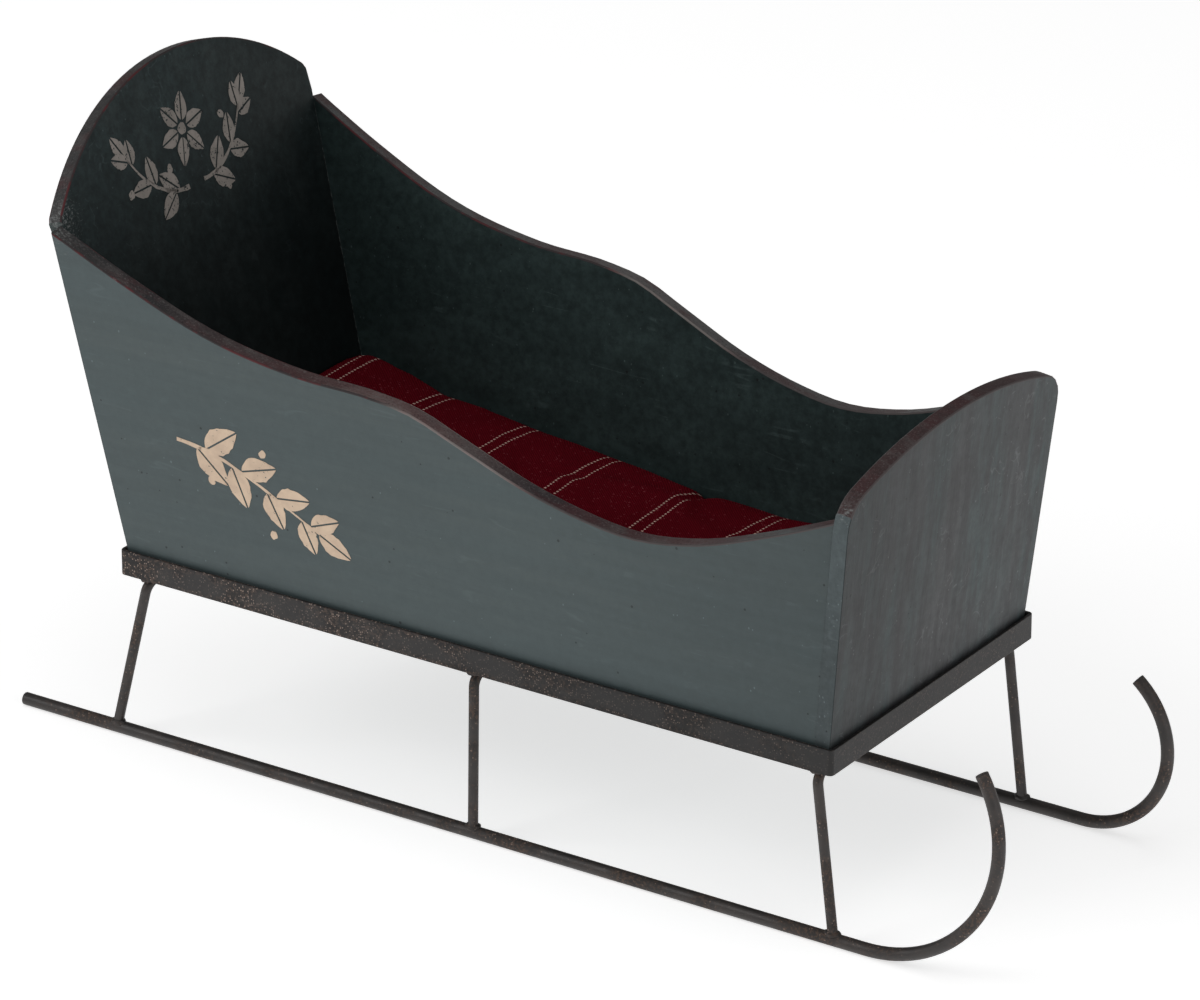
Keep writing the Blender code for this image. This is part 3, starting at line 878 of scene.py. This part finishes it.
def makePrints(pieces, materials):
    look = sprigs["sideSprig"]
    u0, v0 = look["origin"]
    for side, hand in ((-1, "Right"), (1, "Left")):
        bm = bmesh.new()
        addSprig(bm, look)
        piece = layOnBoard(bm, "sideSprig" + hand, pieces["sideBoard" + hand],
                           Vector((0, -side, 0)),
                           lambda u, v: Vector((u0 + u, side * 0.1, v0 + v)),
                           materials["sprigCream"])
    look = sprigs["backSprig"]
    u0, v0 = look["origin"]
    bm = bmesh.new()
    for side in (-1, 1):
        addSprig(bm, {**look, "stem": tuple((side * u, v) for u, v in look["stem"])})
    addRosette(bm, look["rosette"], look["rosetteSize"])
    piece = layOnBoard(bm, "backSprig", pieces["backBoard"], Vector((-1, 0, 0)),
                       lambda u, v: Vector((-0.05, u0 + u, v0 + v)), materials["sprigGrey"])


runners = {
    "rod": 0.0032, "tailX": -0.1326, "trackY": 0.0426, "burr": 0.00018,
    # side, where the curl starts, its radius and its sweep in degrees
    "curls": {"runner_right": (-1, 0.1088, 0.0347, 121.0),
              "runner_left": (1, 0.1165, 0.0225, 142.0)},
    "curlStep": 3.5, "straight": 12,    # degrees in a step of a curl, steps before it
}
hoops = {
    "wire": 0.0025, "bend": 0.0030, "gap": 0.0003, "footSunk": 0.0002,
    # where the cross wire and the feet are along X
    "rows": {"hoop_rear": (-0.0942, -0.1041), "hoop_middle": (0.0007, 0.0001),
             "hoop_front": (0.0952, 0.1000)},
    # half sizes and places of the beads of weld, at the feet and under the band
    "weld": (0.0021, 0.0017, 0.00085), "weldUp": 0.94,
    "tack": (0.0016, 0.0015, 0.0009), "tackOut": 0.0003, "tackDown": 0.0004,
    "beadLump": 0.22,
}


def roundWire(name, points, diameter):
    # A round bar swept along the points, with its cut ends closed and eased
    curve = bpy.data.curves.new(name, "CURVE")
    curve.dimensions = "3D"
    curve.bevel_depth = diameter / 2
    curve.bevel_resolution = 6
    curve.use_fill_caps = True
    spline = curve.splines.new("POLY")
    spline.points.add(len(points) - 1)
    for point, place in zip(spline.points, points):
        point.co = (*place, 1)
    holder = bpy.data.objects.new(name, curve)
    bm = bmesh.new()
    bm.from_mesh(holder.to_mesh())
    bpy.data.objects.remove(holder)
    bmesh.ops.remove_doubles(bm, verts=bm.verts, dist=mergeGap)
    bmesh.ops.recalc_face_normals(bm, faces=bm.faces)
    eased(bm, sharpEdges(bm, math.radians(60)), runners["burr"])
    smoothFaces(bm)
    wire = meshObject(name, bm)
    evenNormals(wire)
    return wire


def makeRunner(node, materials):
    side, curlX, radius, sweep = runners["curls"][node]
    y, z = side * runners["trackY"], runners["rod"] / 2
    tail, curl = bandMiddle + runners["tailX"], bandMiddle + curlX
    points = [(x, y, z) for x in evenly(runners["straight"] + 1, tail, curl)[:-1]]
    steps = round(sweep / runners["curlStep"])
    for angle in evenly(steps + 1, 0, math.radians(sweep)):
        points.append((curl + radius * math.sin(angle), y, z + radius * (1 - math.cos(angle))))
    runner = roundWire("runnerRod" + ("Right" if side < 0 else "Left"), points, runners["rod"])
    runner.data.materials.append(materials["rodSteel"])
    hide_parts(node)
    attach(runner, "sleigh")


def makeHoop(node, materials):
    topX, footX = hoops["rows"][node]
    topZ = bandLow.z - hoops["gap"] - hoops["wire"] / 2
    lean = math.atan2(topX - footX, topZ - runners["rod"])
    footZ = runners["rod"] - hoops["footSunk"]
    bend, trackY = hoops["bend"], runners["trackY"]
    leg = (topZ - footZ) / math.cos(lean)
    half = [(0, trackY, -leg), (0, trackY, -leg / 2)]
    for i in range(10):
        angle = math.pi / 2 * i / 9
        half.append((0, trackY - bend * (1 - math.cos(angle)), -bend * (1 - math.sin(angle))))
    points = half + [(0, -y, z) for _, y, z in reversed(half)]
    turn = Matrix.Translation((bandMiddle + topX, 0, topZ)) @ Matrix.Rotation(lean, 4, "Y")
    places = [turn @ Vector(point) for point in points]
    hoop = roundWire("hoopWire" + node.removeprefix("hoop_").title(), places, hoops["wire"])
    hoop.data.materials.append(materials["rodSteel"])
    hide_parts(node)
    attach(hoop, "sleigh")
    for side, hand in ((-1, "Right"), (1, "Left")):
        foot = Vector((bandMiddle + footX, side * trackY, runners["rod"] * hoops["weldUp"]))
        makeWeld(f"{hoop.name}Weld{hand}", foot, hoops["weld"], materials)
        top = Vector((bandMiddle + topX, side * (trackY + hoops["tackOut"]),
                      bandLow.z - hoops["tackDown"]))
        makeWeld(f"{hoop.name}Tack{hand}", top, hoops["tack"], materials)


def makeWeld(name, place, size, materials):
    # A bead of weld: a lumpy flattened drop
    bm = bmesh.new()
    bmesh.ops.create_icosphere(bm, subdivisions=3, radius=1)
    for vert in bm.verts:
        lump = noise.noise(vert.co * 1.6 + place * 900)
        vert.co = vert.co * (1 + hoops["beadLump"] * lump)
    bmesh.ops.scale(bm, vec=size, verts=bm.verts)
    bmesh.ops.translate(bm, vec=place, verts=bm.verts)
    smoothFaces(bm)
    weld = meshObject(name, bm)
    weld.data.materials.append(materials["rodSteel"])
    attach(weld, "sleigh")


def makeBand(materials):
    bm = mergedCopy("base_band")
    bmesh.ops.dissolve_limit(bm, angle_limit=math.radians(1), verts=bm.verts, edges=bm.edges)
    eased(bm, sharpEdges(bm, math.radians(50)), runners["burr"])
    smoothFaces(bm)
    band = meshObject("steelBand", bm)
    band.data.materials.append(materials["bandSteel"])
    evenNormals(band)
    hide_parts("base_band")
    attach(band, "sleigh")


pad = {"voxel": 0.0017, "pressure": 4.0, "frames": 14, "cap": 0.0008, "lump": 0.0008,
       # soft ridges beside the walls and a hollow between them, growing to the front
       "ridge": 0.0014, "ridgeFrom": -0.060, "ridgeFull": -0.024, "hollow": 0.0008,
       "hollowFrom": -0.075, "hollowFull": 0.020, "hollowY": 0.006, "ridgeY": 0.030,
       "wallY": 0.034, "wallFull": 0.040,
       # swelling between the pairs of stripes, and a fold beside the left wall
       "puff": 0.0004, "fold": 0.0018, "foldX": 0.0070, "foldWidth": 0.0022,
       "foldFrom": 0.028, "foldFull": 0.037,
       # the end behind stands up against the back board, the front half has sunk
       "head": 0.0030, "headTo": -0.068, "sunk": 0.0023, "sunkFrom": -0.032,
       "sunkFull": 0.012, "low": 0.012,
       # groove of the sewn seam round the sides: its depth, reach and height
       "seam": 0.0006, "seamReach": 0.0010, "seamUp": 0.0075}


def ramped(value, start, end):
    t = max(0, min(1, (value - start) / (end - start)))
    return t * t * (3 - 2 * t)


def padShape(place, low):
    # Height added to the plain solid to make the stuffed, sat-in shape
    up = max(0, min(1, (place.z - low.z) / pad["low"]))
    side = abs(place.y)
    outer = ramped(side, pad["hollowY"], pad["ridgeY"])
    ridge = pad["ridge"] * ramped(place.x, pad["ridgeFrom"], pad["ridgeFull"]) * outer
    ridge *= 1 - 0.6 * ramped(side, pad["wallY"], pad["wallFull"])
    hollow = pad["hollow"] * ramped(place.x, pad["hollowFrom"], pad["hollowFull"]) * (1 - outer)
    puff = 0
    for left, right in zip(padLook["pairs"], padLook["pairs"][1:]):
        if left < place.x < right:
            puff = pad["puff"] * math.sin(math.pi * (place.x - left) / (right - left))
    fold = pad["fold"] * math.exp(-((place.x - pad["foldX"]) / pad["foldWidth"]) ** 2)
    fold *= max(0, min(1, (place.y - pad["foldFrom"]) / (pad["foldFull"] - pad["foldFrom"])))
    head = max(0, (pad["headTo"] - place.x) / (pad["headTo"] - low.x))
    head = pad["head"] * min(1, head * 1.15) ** 1.6
    sunk = pad["sunk"] * ramped(place.x, pad["sunkFrom"], pad["sunkFull"])
    lump = pad["lump"] * noise.noise(place * 50)
    return up * (ridge - hollow + puff + lump - fold + head - sunk)


def makePad(materials):
    bm = mergedCopy("cushion")
    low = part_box("cushion")[0]
    bmesh.ops.recalc_face_normals(bm, faces=bm.faces)
    cushion = meshObject("seatPad", bm)
    remesh = cushion.modifiers.new("Remesh", "REMESH")
    remesh.mode = "VOXEL"
    remesh.voxel_size = pad["voxel"]
    applyModifiers(cushion)
    for vert in cushion.data.vertices:
        vert.co.z += padShape(vert.co, low)
    plumpUp(cushion)
    smooth = cushion.modifiers.new("Smooth", "SUBSURF")
    smooth.levels = smooth.render_levels = 1
    applyModifiers(cushion)
    sewSeam(cushion, low.z + pad["seamUp"])
    cushion.data.shade_smooth()
    cushion.data.materials.append(materials["padCloth"])
    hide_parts("cushion")
    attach(cushion, "pad")


def sewSeam(cushion, height):
    bm = bmesh.new()
    bm.from_mesh(cushion.data)
    for vert in bm.verts:
        if abs(vert.normal.z) < 0.6:
            reach = (vert.co.z - height) / pad["seamReach"]
            depth = pad["seam"] * math.exp(-reach * reach)
            vert.co -= Vector((vert.normal.x, vert.normal.y, 0)) * depth
    bm.to_mesh(cushion.data)
    bm.free()


def applyModifiers(obj):
    depsgraph = bpy.context.evaluated_depsgraph_get()
    mesh = bpy.data.meshes.new_from_object(obj.evaluated_get(depsgraph))
    obj.modifiers.clear()
    obj.data = mesh


def plumpUp(cushion):
    # Lets the cloth swell for a moment and settle, but no point moves far
    before = [vert.co.copy() for vert in cushion.data.vertices]
    cloth = cushion.modifiers.new("Cloth", "CLOTH")
    settings = cloth.settings
    settings.use_pressure = True
    settings.uniform_pressure_force = pad["pressure"]
    settings.shrink_min = -0.03
    settings.effector_weights.gravity = 0
    scene = bpy.context.scene
    for frameNumber in range(1, pad["frames"] + 1):
        scene.frame_set(frameNumber)
    applyModifiers(cushion)
    for vert, old in zip(cushion.data.vertices, before):
        move = vert.co - old
        if move.length > pad["cap"]:
            vert.co = old + move * (pad["cap"] / move.length)
    scene.frame_set(1)


makeGroups()
makeStage()
materials = {name: paintMaterial(name) for name in boardPaints}
materials.update({name: steelMaterial(name) for name in steels})
materials.update({name: printMaterial(name) for name in printLook})
materials["rimPaint"] = rimMaterial()
materials["arrisWear"] = arrisMaterial()
materials["cornerShade"] = cornerMaterial()
materials["padCloth"] = clothMaterial()
print("stage and materials are ready")

pieces = {boards[node]["piece"]: makeBoard(node, materials) for node in boards}
makePrints(pieces, materials)
print("boards are ready")
makeBand(materials)
for node in runners["curls"]:
    makeRunner(node, materials)
for node in hoops["rows"]:
    makeHoop(node, materials)
print("steel is ready")
makePad(materials)
print("pad is ready")
